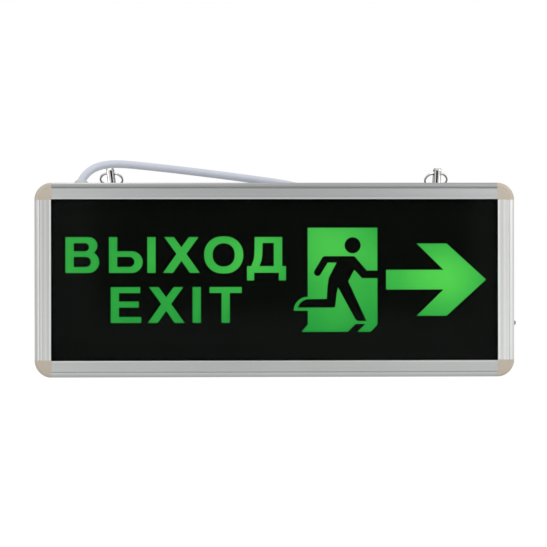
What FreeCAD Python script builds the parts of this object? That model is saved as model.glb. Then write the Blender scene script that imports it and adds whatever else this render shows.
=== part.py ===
"""Emergency exit light: an edge-framed sign box with a lit legend, hung from two split rings.

Millimetres. X runs to the right along the sign, the legend faces -Y, and +Z is up.
The origin is under the middle of the bottom edge, half way through the depth.
"""

import FreeCAD, Part
import math
import os
import Sketcher
from FreeCAD import Placement, Rotation, Vector

# ---------------------------------------------------------------- driving dimensions

SIZES = {
    # the whole sign
    "sign_width": 358.0,
    "sign_height": 145.0,
    "sign_depth": 25.0,
    # the extruded frame section
    "face_width": 12.5,
    "web_thickness": 1.3,
    "shoulder_width": 3.1,
    "shoulder_drop": 1.6,
    "groove_width": 1.4,
    "groove_depth": 0.6,
    "lip_reach": 3.1,
    "lip_thickness": 1.8,
    "lip_radius": 1.4,
    "rib_thickness": 1.2,
    "rib_setback": 0.5,
    "face_wall": 1.4,
    # the panels that the frame holds
    "panel_play": 1.0,
    "stack_play": 0.1,
    "layer_gap": 0.1,
    "glass_thickness": 3.0,
    "mask_thickness": 0.4,
    "film_thickness": 0.4,
    "diffuser_thickness": 1.7,
    "back_thickness": 1.5,
    # the corner pieces
    "corner_ease": 0.3,
    "corner_score": 0.15,
    "tongue_length": 14.0,
    "tongue_play": 0.15,
    "screw_radius": 1.25,
    "screw_head_radius": 2.6,
    "screw_head_height": 1.5,
    "screw_length": 8.0,
    "screw_from_joint": 6.0,
    # the legend
    "cap_height": 26.8,
    "stem": 6.2,
    "bar_height": 4.5,
    "upper_baseline_rise": 5.3,
    "lower_baseline_drop": 32.1,
    "legend_margin": 10.0,
    "lower_word_indent": 33.7,
    "arrow_margin": 7.9,
    "arrow_length": 75.3,
    "arrow_shaft": 14.8,
    "arrow_head_height": 54.2,
    "arrow_wing": 22.6,
    "arrow_head_length": 29.7,
    "door_gap": 6.5,
    "door_width": 52.3,
    "door_height": 78.0,
    "door_top_drop": 21.0,
    "sill_slant": 5.2,
    "head_radius": 6.0,
    # the lamp boards behind the legend
    "board_thickness": 1.2,
    "lamp_bar_height": 9.0,
    "lamp_bar_inset": 18.0,
    "lamp_bar_rise": 24.0,
    "lamp_bar_drop": 20.0,
    "lamp_pitch": 78.0,
    "lamp_size": 5.0,
    "lamp_height": 1.6,
    "lamp_window_play": 0.5,
    "reflector_thickness": 0.5,
    "reflector_inset": 6.0,
    "reflector_top_gap": 16.0,
    # the battery and its driver
    "works_height": 19.0,
    "works_play": 1.5,
    "cell_radius": 5.2,
    "cell_length": 44.5,
    "cell_neck": 0.6,
    "battery_inset": 12.0,
    "clip_width": 8.0,
    "clip_wall": 0.9,
    "clip_play": 0.1,
    "driver_length": 128.0,
    "driver_inset": 16.0,
    "driver_thickness": 1.6,
    "transformer_width": 18.0,
    "transformer_height": 15.0,
    "transformer_depth": 9.0,
    "winding_overhang": 2.0,
    "capacitor_radius": 4.0,
    "capacitor_length": 12.0,
    "fuse_radius": 2.5,
    "fuse_length": 20.0,
    "fuse_cap_length": 4.5,
    "terminal_width": 15.0,
    "terminal_height": 10.0,
    "terminal_depth": 8.0,
    "terminal_bore": 1.4,
    # the test button at the right end
    "button_rise": 39.8,
    "button_radius": 1.65,
    "button_proud": 3.2,
    "button_shaft_radius": 1.3,
    "button_running_gap": 0.15,
    "button_travel": 1.0,
    "button_collar_radius": 2.7,
    "button_collar_length": 1.2,
    "switch_width": 6.0,
    "switch_length": 4.5,
    "switch_wall": 1.2,
    "switch_board_height": 16.0,
    # the hangers
    "lug_from_end": 56.5,
    "lug_width": 5.3,
    "lug_thickness": 1.2,
    "lug_gap": 6.4,
    "lug_height": 11.6,
    "lug_bend": 0.9,
    "lug_foot": 2.6,
    "lug_slack": 0.4,
    "lug_slot_play": 0.4,
    "left_lug_lean": 7.0,
    "right_lug_lean": 3.0,
    "right_lug_setback": 1.5,
    "plate_length": 15.0,
    "plate_width": 14.0,
    "plate_thickness": 0.8,
    "ring_radius": 9.0,
    "ring_wire": 1.4,
    "ring_stack": 1.5,
    "ring_edge": 0.25,
    "ring_seam": 0.2,
    "ring_drop": 2.15,
    "ring_rest_gap": 0.3,
    # the mains cable and its grommet
    "cable_diameter": 6.0,
    "gland_from_end": 33.0,
    "gland_setback": 4.0,
    "gland_radius": 5.4,
    "gland_height": 2.8,
    "gland_crown": 0.9,
    "gland_neck_radius": 4.1,
    "gland_barb_radius": 4.9,
    "gland_barb_height": 1.6,
    "core_radius": 1.1,
    "core_length": 22.0,
    "core_pitch_radius": 1.4,
    "core_splay": 5.0,
    "core_gap": 0.15,
    "ferrule_radius": 0.8,
    "ferrule_length": 7.0,
    # the keyholes in the back
    "keyhole_spacing": 200.0,
    "keyhole_drop": 23.0,
    "keyhole_radius": 4.0,
    "keyhole_slot": 4.0,
    "keyhole_rise": 7.0,
}

# Centre line of the mains cable, from inside the grommet to the cut end behind the sign.
CABLE_ROUTE = [
    (-147.0, 4.0, 145.6),
    (-145.0, 6.4, 149.8),
    (-141.7, 9.7, 154.4),
    (-137.0, 13.4, 158.0),
    (-131.0, 17.0, 160.4),
    (-123.7, 20.2, 161.5),
    (-114.0, 22.7, 161.4),
    (-98.0, 23.9, 159.9),
    (-74.0, 24.4, 157.3),
    (-45.0, 25.0, 153.8),
    (-15.0, 25.6, 149.9),
    (12.0, 26.2, 146.1),
    (33.0, 26.7, 140.2),
    (50.0, 27.2, 130.2),
    (62.0, 27.6, 117.0),
    (69.5, 28.0, 100.5),
    (72.5, 28.2, 82.0),
    (71.5, 28.6, 62.0),
    (66.0, 29.0, 44.5),
    (56.5, 29.6, 29.0),
    (43.0, 30.4, 16.2),
    (26.5, 31.4, 7.2),
    (7.0, 32.6, 3.6),
    (-20.0, 34.2, 3.1),
    (-50.0, 36.4, 3.06),
    (-82.0, 37.2, 3.1),
    (-112.0, 36.2, 3.06),
]


class Size:
    """A length that is held twice: as a spreadsheet formula, and as the number it comes to."""

    def __init__(self, formula, number):
        self.formula = formula
        self.number = number

    @staticmethod
    def of(value):
        """Take a Size as it is, and make one from a plain number."""
        if isinstance(value, Size):
            return value
        return Size(repr(float(value)), float(value))

    def join(self, sign, other, number):
        return Size(f"({self.formula} {sign} {other.formula})", number)

    def __add__(self, other):
        other = Size.of(other)
        return self.join("+", other, self.number + other.number)

    def __sub__(self, other):
        other = Size.of(other)
        return self.join("-", other, self.number - other.number)

    def __mul__(self, other):
        other = Size.of(other)
        return self.join("*", other, self.number * other.number)

    def __truediv__(self, other):
        other = Size.of(other)
        return self.join("/", other, self.number / other.number)

    def __radd__(self, other):
        return Size.of(other) + self

    def __rsub__(self, other):
        return Size.of(other) - self

    def __rmul__(self, other):
        return Size.of(other) * self

    def __neg__(self):
        return Size.of(0.0) - self


# ---------------------------------------------------------------- document and helpers

doc = FreeCAD.newDocument("ExitLight")
SHEET = doc.addObject("Spreadsheet::Sheet", "Sizes")


def fill_sheet():
    """Put each driving dimension in a row of its own: its name, its number and its alias."""
    for row, (alias, number) in enumerate(SIZES.items(), start=1):
        SHEET.set(f"A{row}", alias)
        SHEET.set(f"B{row}", str(number))
        SHEET.setAlias(f"B{row}", alias)
    doc.recompute()


def size(alias):
    """Give the driving dimension of this name."""
    return Size(f"Sizes.{alias}", SIZES[alias])


fill_sheet()
PIECES = []

# Rotations that stand a sketch or a cylinder, drawn about Z, along another axis.
ALONG_X = Rotation(Vector(0, 1, 0), 90)
ALONG_Y = Rotation(Vector(1, 0, 0), -90)
FACING_FRONT = Rotation(Vector(1, 0, 0), 90)


def keep(thing, label):
    """Give a finished piece its name and put it on the list of pieces to write."""
    thing.Label = label
    PIECES.append(thing)
    return thing


def place(thing, x=None, y=None, z=None):
    """Tie an object's position to the sizes."""
    for axis, at in (("x", x), ("y", y), ("z", z)):
        if at is not None:
            thing.setExpression(f"Placement.Base.{axis}", Size.of(at).formula)
    return thing


def block(name, x, y, z):
    """Make a box from its (low, high) pair along each axis."""
    box = doc.addObject("Part::Box", name)
    for side, (low, high) in (("Length", x), ("Width", y), ("Height", z)):
        box.setExpression(side, (Size.of(high) - low).formula)
    return place(box, x[0], y[0], z[0])


def rod(name, turn, radius, length, x=0.0, y=0.0, z=0.0):
    """Make a cylinder that starts at (x, y, z) and runs along the turned Z axis."""
    cylinder = doc.addObject("Part::Cylinder", name)
    cylinder.Placement = Placement(Vector(), turn)
    cylinder.setExpression("Radius", Size.of(radius).formula)
    cylinder.setExpression("Height", Size.of(length).formula)
    return place(cylinder, x, y, z)


def fuse(name, things):
    """Join overlapping or touching shapes into one."""
    joined = doc.addObject("Part::MultiFuse", name)
    joined.Shapes = things
    joined.Refine = True
    return joined


def cut(name, base, tool):
    """Take one shape out of another."""
    left = doc.addObject("Part::Cut", name)
    left.Base = base
    left.Tool = tool
    return left


def fix(sketch, kind, number, spot, at):
    """Hold one coordinate of a point of the sketch at a size."""
    constraint = Sketcher.Constraint(kind, number, spot, at.number)
    index = sketch.addConstraint(constraint)
    sketch.setExpression(f"Constraints[{index}]", at.formula)


def hold(sketch, number, spot, x, y):
    """Hold a point of the sketch at two sizes."""
    fix(sketch, "DistanceX", number, spot, Size.of(x))
    fix(sketch, "DistanceY", number, spot, Size.of(y))


def arc_between(start, end, centre, turn):
    """Make the arc about a centre, anticlockwise for a turn of 1 and clockwise for -1."""
    radius = math.hypot(start[0] - centre[0], start[1] - centre[1])
    angles = [math.atan2(p[1] - centre[1], p[0] - centre[0]) for p in (start, end)]
    if turn < 0:
        angles.reverse()
    circle = Part.Circle(Vector(centre[0], centre[1], 0), Vector(0, 0, 1), radius)
    return Part.ArcOfCircle(circle, angles[0], angles[1])


def draw_loop(sketch, corners):
    """Draw a closed outline. A corner is (x, y), or (x, y, centre x, centre y, turn) before an arc."""
    ends = []
    for here, after in zip(corners, corners[1:] + corners[:1]):
        start = [Size.of(c).number for c in here[:2]]
        end = [Size.of(c).number for c in after[:2]]
        if len(here) == 2:
            number = sketch.addGeometry(Part.LineSegment(Vector(*start, 0), Vector(*end, 0)))
            ends.append((number, 1, 2))
            continue
        centre_x, centre_y, turn = here[2:]
        centre = [Size.of(c).number for c in (centre_x, centre_y)]
        number = sketch.addGeometry(arc_between(start, end, centre, turn))
        ends.append((number, 1, 2) if turn > 0 else (number, 2, 1))
        if abs(end[0] - start[0]) < abs(end[1] - start[1]):
            fix(sketch, "DistanceX", number, 3, Size.of(centre_x))
        else:
            fix(sketch, "DistanceY", number, 3, Size.of(centre_y))
    for here, after in zip(ends, ends[1:] + ends[:1]):
        sketch.addConstraint(Sketcher.Constraint("Coincident", here[0], here[2], after[0], after[1]))
    for (number, first, _), corner in zip(ends, corners):
        hold(sketch, number, first, corner[0], corner[1])


def draw(sketch, loops):
    for corners in loops:
        draw_loop(sketch, corners)
    return sketch


def sketch_in(body, name, role, loops):
    """Make a sketch on one of the body's own origin planes."""
    sketch = body.newObject("Sketcher::SketchObject", name)
    plane = [f for f in body.Origin.OriginFeatures if f.Role == role][0]
    sketch.AttachmentSupport = [(plane, "")]
    sketch.MapMode = "FlatFace"
    return draw(sketch, loops)


def pad(body, name, role, loops, length, midplane=False):
    """Extrude a sketch inside a body."""
    feature = body.newObject("PartDesign::Pad", name)
    feature.Profile = sketch_in(body, name + "_sketch", role, loops)
    feature.setExpression("Length", Size.of(length).formula)
    feature.Midplane = midplane
    body.Tip = feature
    return feature


def revolve(body, name, role, loops, axis, angle=360.0):
    """Turn a sketch about one of its own axes inside a body."""
    feature = body.newObject("PartDesign::Revolution", name)
    sketch = sketch_in(body, name + "_sketch", role, loops)
    feature.Profile = sketch
    feature.ReferenceAxis = (sketch, [axis])
    feature.Angle = angle
    body.Tip = feature
    return feature


def new_body(name):
    return doc.addObject("PartDesign::Body", name)


def flat_piece(name, loops, thickness):
    """Extrude outlines drawn on the front face, from y = 0 towards the back."""
    sketch = doc.addObject("Sketcher::SketchObject", name + "_sketch")
    sketch.Placement = Placement(Vector(), FACING_FRONT)
    draw(sketch, loops)
    plate = doc.addObject("Part::Extrusion", name)
    plate.Base = sketch
    plate.DirMode = "Custom"
    plate.Dir = Vector(0, 1, 0)
    plate.Solid = True
    plate.setExpression("LengthFwd", Size.of(thickness).formula)
    return plate


def rectangle(left, bottom, width, height):
    right = Size.of(left) + width
    top = Size.of(bottom) + height
    return [(left, bottom), (right, bottom), (right, top), (left, top)]


def rounded_rectangle(left, bottom, width, height, radius):
    """Outline with four round corners."""
    right = Size.of(left) + width
    top = Size.of(bottom) + height
    x0, x1 = left + radius, right - radius
    z0, z1 = bottom + radius, top - radius
    return [
        (x0, bottom),
        (x1, bottom, x1, z0, 1),
        (right, z0),
        (right, z1, x1, z1, 1),
        (x1, top),
        (x0, top, x0, z1, 1),
        (left, z1),
        (left, z0, x0, z0, 1),
    ]


def bowl(left, bottom, width, height):
    """Outline with a straight left side and a half-round right side, as in a letter's bowl."""
    radius = Size.of(height) / 2
    middle = Size.of(bottom) + radius
    turn_x = Size.of(left) + width - radius
    top = Size.of(bottom) + height
    return [(left, bottom), (turn_x, bottom, turn_x, middle, 1), (turn_x, top), (left, top)]


# ---------------------------------------------------------------- places that pieces share

half_width = size("sign_width") / 2
half_depth = size("sign_depth") / 2
corner_reach = size("face_width") + size("corner_ease")
level_length = size("sign_width") - 2 * corner_reach
upright_length = size("sign_height") - 2 * corner_reach
right_edge = half_width - size("face_width")
left_edge = -right_edge
lip_back = half_depth - size("lip_thickness")
inner_web = size("face_width") - size("lip_reach")
chamber_top = inner_web - size("web_thickness")
panel_edge = inner_web + size("panel_play")
panel_width = size("sign_width") - 2 * panel_edge
panel_height = size("sign_height") - 2 * panel_edge

# Depths of the layers, counted from the middle of the sign: the front is negative Y.
glass_front = -lip_back + size("stack_play")
mask_front = glass_front + size("glass_thickness") + size("layer_gap")
film_front = mask_front + size("mask_thickness") + size("layer_gap")
diffuser_front = film_front + size("film_thickness") + size("layer_gap")
diffuser_back = diffuser_front + size("diffuser_thickness")
front_rib = diffuser_back + size("stack_play")
back_panel_back = lip_back - size("stack_play")
back_panel_front = back_panel_back - size("back_thickness")
rear_rib = back_panel_front - size("stack_play")

chamber_half = half_depth - size("shoulder_drop") - size("web_thickness")
chamber_wide_half = half_depth - size("groove_depth") - size("face_wall")


# ---------------------------------------------------------------- the extruded frame

def shoulder_centre():
    """Depth of the centre of the shoulder's arc, which runs level into the flat face."""
    drop = size("shoulder_drop")
    width = size("shoulder_width")
    radius = (drop * drop + width * width) / (2 * drop)
    return half_depth - radius


def section_outline(with_ribs, groove_depth):
    """Outer outline of the frame section: depth across, distance from the outer edge up."""
    shoulder = size("shoulder_width")
    drop_half = half_depth - size("shoulder_drop")
    centre = shoulder_centre()
    groove_end = shoulder + size("groove_width")
    groove_floor = half_depth - groove_depth
    groove_middle = shoulder + size("groove_width") / 2
    edge = size("face_width")
    round_start = edge - size("lip_radius")
    round_depth = half_depth - size("lip_radius")
    rib_end = edge - size("rib_setback")
    rib = size("rib_thickness")
    rear = [
        (drop_half, 0, centre, shoulder, 1),
        (half_depth, shoulder),
        (groove_floor, groove_middle),
        (half_depth, groove_end),
        (half_depth, round_start, round_depth, round_start, 1),
        (round_depth, edge),
        (lip_back, edge),
        (lip_back, inner_web),
    ]
    rear_ribs = [
        (rear_rib, inner_web),
        (rear_rib, rib_end),
        (rear_rib - rib, rib_end),
        (rear_rib - rib, inner_web),
    ]
    front_ribs = [
        (front_rib + rib, inner_web),
        (front_rib + rib, rib_end),
        (front_rib, rib_end),
        (front_rib, inner_web),
    ]
    front = [
        (-lip_back, inner_web),
        (-lip_back, edge),
        (-round_depth, edge, -round_depth, round_start, 1),
        (-half_depth, round_start),
        (-half_depth, groove_end),
        (-groove_floor, groove_middle),
        (-half_depth, shoulder, -centre, shoulder, 1),
        (-drop_half, 0),
    ]
    ribs = rear_ribs + front_ribs if with_ribs else []
    return rear + ribs + front


def chamber_outline():
    """Hollow of the frame section, wider past the shoulder."""
    low = size("web_thickness")
    knee = size("shoulder_width") + size("groove_width")
    return [
        (-chamber_half, low),
        (chamber_half, low),
        (chamber_wide_half, knee),
        (chamber_wide_half, chamber_top),
        (-chamber_wide_half, chamber_top),
        (-chamber_wide_half, knee),
    ]


def frame_bar(name, length, turn):
    """Extrude one side of the frame and turn it about the depth axis to its place."""
    bar = new_body(name)
    loops = [section_outline(True, size("groove_depth")), chamber_outline()]
    pad(bar, name + "_extrusion", "YZ_Plane", loops, length, midplane=True)
    bar.Placement = Placement(Vector(), Rotation(Vector(0, 1, 0), turn))
    return bar


def make_frame():
    """Make the four aluminium sides, with the holes that other pieces pass through."""
    middle = size("sign_height") / 2
    bottom = frame_bar("bottom_bar", level_length, 0)
    top = place(frame_bar("top_bar", level_length, 180), z=size("sign_height"))
    left = place(frame_bar("left_bar", upright_length, 90), x=-half_width, z=middle)
    right = place(frame_bar("right_bar", upright_length, -90), x=half_width, z=middle)
    keep(cut("bottom_cut", bottom, fuse("bottom_holes", screw_holes(-1))), "bottom_profile")
    top_tools = [gland_hole()] + screw_holes(1) + lug_slots("left") + lug_slots("right")
    keep(cut("top_cut", top, fuse("top_holes", top_tools)), "top_profile")
    keep(left, "left_profile")
    keep(cut("right_cut", right, button_hole()), "right_profile")


# ---------------------------------------------------------------- corner pieces

def tongue_outline(across_first):
    """Section of a tongue that slides into the chamber of a frame side."""
    half = chamber_half - size("tongue_play")
    low = size("web_thickness") + size("tongue_play") - corner_reach
    high = chamber_top - size("tongue_play") - corner_reach
    if across_first:
        return rectangle(-half, low, 2 * half, high - low)
    return rectangle(low, -half, high - low, 2 * half)


def make_corner(label, side, level, turn):
    """Turn the frame section through a quarter circle and add a tongue for each side."""
    corner = new_body(label + "_body")
    down = [lowered(c) for c in section_outline(False, size("corner_score"))]
    revolve(corner, label + "_quarter", "YZ_Plane", [down], "H_Axis", 90.0)
    pad(corner, label + "_level_tongue", "YZ_Plane", [tongue_outline(True)], size("tongue_length"))
    pad(corner, label + "_upright_tongue", "XY_Plane", [tongue_outline(False)], size("tongue_length"))
    corner.Placement = Placement(Vector(), Rotation(Vector(0, 1, 0), turn))
    height = corner_reach if level < 0 else size("sign_height") - corner_reach
    place(corner, x=side * (half_width - corner_reach), z=height)
    keep(cut(label + "_cut", corner, screw_shaft(label + "_pilot", side, level)), label)


def lowered(corner):
    """Move a corner of the section, and the centre of its arc, below the axis that it turns about."""
    if len(corner) == 2:
        return (corner[0], corner[1] - corner_reach)
    depth, across, centre_depth, centre_across, turn = corner
    return (depth, across - corner_reach, centre_depth, centre_across - corner_reach, turn)


def make_corners():
    make_corner("corner_bottom_left", -1, -1, 0)
    make_corner("corner_top_left", -1, 1, 90)
    make_corner("corner_top_right", 1, 1, 180)
    make_corner("corner_bottom_right", 1, -1, 270)


def screw_place(side, level):
    """Axis of a corner screw, through the back wall of a level side and into the tongue."""
    across = side * (half_width - corner_reach - size("screw_from_joint"))
    middle = (size("web_thickness") + chamber_top) / 2
    up = middle if level < 0 else size("sign_height") - middle
    return across, up


def screw_shaft(name, side, level):
    across, up = screw_place(side, level)
    start = half_depth - size("screw_length")
    return rod(name, ALONG_Y, size("screw_radius"), size("screw_length"), across, start, up)


def screw_head(name, side, level):
    """Countersunk head, flush with the back of the frame."""
    across, up = screw_place(side, level)
    head = doc.addObject("Part::Cone", name)
    head.Placement = Placement(Vector(), ALONG_Y)
    head.setExpression("Radius1", size("screw_radius").formula)
    head.setExpression("Radius2", size("screw_head_radius").formula)
    head.setExpression("Height", size("screw_head_height").formula)
    return place(head, across, half_depth - size("screw_head_height"), up)


def screw_holes(level):
    tools = []
    for side in (-1, 1):
        name = f"hole_{level + 1}_{side + 1}"
        tools.append(screw_shaft(name + "_shaft", side, level))
        tools.append(screw_head(name + "_head", side, level))
    return tools


def make_screws():
    """One countersunk screw holds each corner's tongue in the level side beside it."""
    names = {(-1, -1): "bottom_left", (1, -1): "bottom_right", (-1, 1): "top_left", (1, 1): "top_right"}
    for (side, level), place_name in names.items():
        name = "screw_" + place_name
        whole = [screw_shaft(name + "_shaft", side, level), screw_head(name + "_head", side, level)]
        recess = block(
            name + "_drive",
            across_span(side, level, 0.5 * size("screw_head_radius")),
            (half_depth - size("screw_head_height") / 2, half_depth),
            up_span(side, level, size("screw_radius") / 3),
        )
        keep(cut(name + "_slotted", fuse(name + "_solid", whole), recess), name)


def across_span(side, level, half):
    across = screw_place(side, level)[0]
    return across - half, across + half


def up_span(side, level, half):
    up = screw_place(side, level)[1]
    return up - half, up + half


# ---------------------------------------------------------------- panels and legend

def panel(name, front, thickness):
    """A flat sheet that the frame's grooves hold on all four sides."""
    low = panel_edge
    high = size("sign_height") - panel_edge
    return block(name, (-panel_width / 2, panel_width / 2), (front, front + thickness), (low, high))


LOWER_BOWL = 0.605
UPPER_BOWL = 0.48
UPPER_BOWL_WIDTH = 0.945
BOWL_WIDTH = 4.06
BOWL_OVERLAP = 0.3


def letter_ve(name):
    """Cyrillic Ve: a stem with two bowls."""
    tall = size("cap_height")
    lower = tall * LOWER_BOWL
    upper = tall * UPPER_BOWL
    wide = size("stem") * BOWL_WIDTH
    upper_wide = wide * UPPER_BOWL_WIDTH
    outside = fuse(name + "_outside", [
        glyph(name + "_lower", [bowl(0.0, 0.0, wide, lower)]),
        glyph(name + "_upper", [bowl(0.0, tall - upper, upper_wide, upper)]),
    ])
    bar = size("bar_height")
    counters = glyph(name + "_counters", [
        bowl(size("stem"), bar, wide - 2 * size("stem"), lower - 2 * bar + BOWL_OVERLAP),
        bowl(size("stem"), lower, upper_wide - 2 * size("stem"), tall - bar - lower),
    ])
    return cut(name, outside, counters), wide


def letter_yery(name):
    """Cyrillic Yery: a stem with one low bowl, and a second stem."""
    tall = size("cap_height")
    lower = tall * LOWER_BOWL
    bowl_width = size("stem") * BOWL_WIDTH
    second = bowl_width + size("stem") * 0.56
    bar = size("bar_height")
    outside = fuse(name + "_outside", [
        glyph(name + "_stem", [rectangle(0.0, 0.0, size("stem"), tall)]),
        glyph(name + "_bowl", [bowl(0.0, 0.0, bowl_width, lower)]),
        glyph(name + "_second_stem", [rectangle(second, 0.0, size("stem"), tall)]),
    ])
    counter = glyph(name + "_counter", [
        bowl(size("stem"), bar, bowl_width - 2 * size("stem"), lower - 2 * bar + BOWL_OVERLAP)
    ])
    return cut(name, outside, counter), second + size("stem")


def letter_x(name):
    """Two crossing diagonals, spread a little wider at the foot."""
    tall = size("cap_height")
    thick = size("stem") * 1.19
    wide = size("stem") * 4.42
    taper = size("stem") * 0.145
    middle = wide / 2
    corners = [
        (0.0, 0.0),
        (thick, 0.0),
        (middle, tall * 0.335),
        (wide - thick, 0.0),
        (wide, 0.0),
        (middle + size("stem") * 0.6, tall * 0.53),
        (wide - taper, tall),
        (wide - taper - thick + 0.2, tall),
        (middle, tall * 0.715),
        (taper + thick - 0.2, tall),
        (taper, tall),
        (middle - size("stem") * 0.6, tall * 0.53),
    ]
    return glyph(name, [corners]), wide


def letter_o(name):
    """A broad ring, squarer than a circle."""
    tall = size("cap_height")
    over = tall * 0.018
    wide = size("stem") * 4.71
    high = tall + 2 * over
    side = size("stem") * 1.03
    inner_wide = wide - 2 * side
    inner_low = size("bar_height") + over / 2
    inner_high = tall - 2 * inner_low
    outer = rounded_rectangle(0.0, -over, wide, high, high * 0.475)
    inner = rounded_rectangle(side, inner_low, inner_wide, inner_high, inner_wide * 0.475)
    return glyph(name, [outer, inner]), wide


def letter_de(name):
    """Cyrillic De: a house with a curved left wall on a bar with two feet."""
    tall = size("cap_height")
    stem = size("stem")
    bar = size("bar_height")
    foot = stem * 0.86
    foot_drop = bar * 1.27
    wide = stem * 4.7
    wall_low = stem * 0.5
    wall_high = stem * 0.93
    right_wall = wide - stem * 0.45
    outer = [
        (0.0, -foot_drop),
        (foot, -foot_drop),
        (foot, 0.0),
        (wide - foot, 0.0),
        (wide - foot, -foot_drop),
        (wide, -foot_drop),
        (wide, bar + 0.5),
        (right_wall, bar + 0.5),
        (right_wall, tall),
        (wall_high, tall),
        (wall_high - 0.25, tall * 0.5),
        (wall_high - 0.9, tall * 0.35),
        (wall_low, bar + 0.5),
        (0.0, bar + 0.5),
    ]
    inner = [
        (wall_low + stem, bar + 0.5),
        (right_wall - stem * 1.02, bar + 0.5),
        (right_wall - stem * 1.02, tall - bar),
        (wall_high + stem * 0.95, tall - bar),
        (wall_high + stem * 0.92, tall * 0.5),
        (wall_high + stem * 0.82, tall * 0.35),
    ]
    return glyph(name, [outer, inner]), wide


def letter_e(name):
    """A stem with three bars, the middle one shortest."""
    tall = size("cap_height")
    stem = size("stem")
    bar = size("bar_height")
    wide = stem * 3.66
    middle = tall * 0.43
    corners = [
        (0.0, 0.0),
        (wide, 0.0),
        (wide, bar),
        (stem, bar),
        (stem, middle),
        (wide * 0.925, middle),
        (wide * 0.925, middle + bar),
        (stem, middle + bar),
        (stem, tall - bar),
        (wide * 0.97, tall - bar),
        (wide * 0.97, tall),
        (0.0, tall),
    ]
    return glyph(name, [corners]), wide


def letter_i(name):
    return glyph(name, [rectangle(0.0, 0.0, size("stem"), size("cap_height"))]), size("stem")


def letter_t(name):
    """A stem under a bar."""
    tall = size("cap_height")
    wide = size("stem") * 3.88
    low = wide / 2 - size("stem") / 2
    high = wide / 2 + size("stem") / 2
    shoulder = tall - size("bar_height")
    corners = [(low, 0.0), (high, 0.0), (high, shoulder), (wide, shoulder), (wide, tall), (0.0, tall)]
    return glyph(name, [corners + [(0.0, shoulder), (low, shoulder)]]), wide


def glyph(name, loops):
    """A piece of a legend opening, as thick as the printed mask."""
    return flat_piece(name, loops, size("mask_thickness"))


# Each word: the letters in order, and the gap before each one in shares of a stem.
UPPER_WORD = [(letter_ve, 0.0), (letter_yery, 1.17), (letter_x, 0.9), (letter_o, 0.53), (letter_de, 0.46)]
LOWER_WORD = [(letter_e, 0.0), (letter_x, 0.81), (letter_i, 0.97), (letter_t, 1.05)]


def word(name, letters, left, baseline):
    """Set a word letter by letter from its left end."""
    made = []
    cursor = left
    for number, (letter, gap) in enumerate(letters, start=1):
        cursor = cursor + gap * size("stem")
        form, wide = letter(f"{name}_{number}")
        made.append(place(form, x=cursor, y=mask_front, z=baseline))
        cursor = cursor + wide
    return made


def arrow(name):
    """A broad arrow that points right; its tip is at the local origin."""
    shaft = size("arrow_shaft") / 2
    head = size("arrow_head_height") / 2
    tail = -size("arrow_length")
    head_back = -size("arrow_head_length")
    wing_back = head_back - size("arrow_wing")
    notch = head_back - (head_back - wing_back) * 0.11
    corners = [
        (tail, -shaft),
        (notch, -shaft),
        (wing_back, -head),
        (head_back, -head),
        (0.0, 0.0),
        (head_back, head),
        (wing_back, head),
        (notch, shaft),
        (tail, shaft),
    ]
    return glyph(name, [corners])


def doorway(name):
    """The lit doorway, with its slanted sill and the glow round the trailing foot."""
    wide = size("door_width")
    tall = size("door_height")
    slant = size("sill_slant")
    glow_low = tall * 0.2026
    glow_radius = tall * 0.1346
    corners = [
        (-slant * 0.9, 0.0),
        (wide - slant * 0.96, 0.0),
        (wide, slant * 1.04),
        (wide, tall),
        (0.0, tall),
        (0.0, glow_low + glow_radius, 0.0, glow_low, 1),
        (-glow_radius, glow_low),
        (0.0, glow_low),
        (0.0, slant * 1.04),
    ]
    return glyph(name, [corners])


def runner(name):
    """A running person without a head, drawn in shares of the doorway's height."""
    tall = size("door_height")

    def at(x, z):
        return (tall * x, tall * z)

    foot_centre = at(0.006, 0.2065)
    hand_centre = at(0.0948, 0.5705)
    corners = [
        at(0.6765, 0.5885),
        at(0.567, 0.5885),
        at(0.4600, 0.7150) + at(0.4360, 0.6960) + (1,),
        at(0.4360, 0.7264),
        at(0.1660, 0.7264) + at(0.1660, 0.6960) + (1,),
        at(0.1400, 0.7110),
        at(0.0650, 0.5870) + hand_centre + (1,),
        at(0.1260, 0.5560),
        at(0.1930, 0.6648),
        at(0.2775, 0.6648),
        at(0.2030, 0.5190),
        at(0.1900, 0.4300),
        at(0.1835, 0.3160),
        at(0.0060, 0.3135) + foot_centre + (1,),
        at(-0.0937, 0.2330),
        at(0.2500, 0.2330),
        at(0.2640, 0.2430),
        at(0.2790, 0.3710),
        at(0.2920, 0.4270),
        at(0.4530, 0.1310),
        at(0.4610, 0.1180),
        at(0.4830, 0.1040),
        at(0.5640, 0.1040),
        at(0.3900, 0.4850),
        at(0.4480, 0.5960),
        at(0.5230, 0.5150),
        at(0.6765, 0.5150),
    ]
    return glyph(name, [corners])


def foot_shadow(name):
    """The slanted gap in the sill under the leading foot."""
    tall = size("door_height")
    low = -tall * 0.01
    high = tall * 0.0755
    corners = [(tall * 0.375, low), (tall * 0.469, low), (tall * 0.554, high), (tall * 0.4615, high)]
    return glyph(name, [corners])


def make_pictogram(left, low):
    """Cut the running figure out of the lit doorway."""
    tall = size("door_height")
    opening = place(doorway("doorway"), left, mask_front, low)
    body_shape = place(runner("runner"), left, mask_front, low)
    shadow = place(foot_shadow("foot_shadow"), left, mask_front, low)
    head = rod(
        "runner_head",
        ALONG_Y,
        size("head_radius"),
        size("mask_thickness"),
        left + tall * 0.4325,
        mask_front,
        low + tall * 0.831,
    )
    return cut("pictogram", opening, fuse("dark_figure", [body_shape, shadow, head]))


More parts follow.
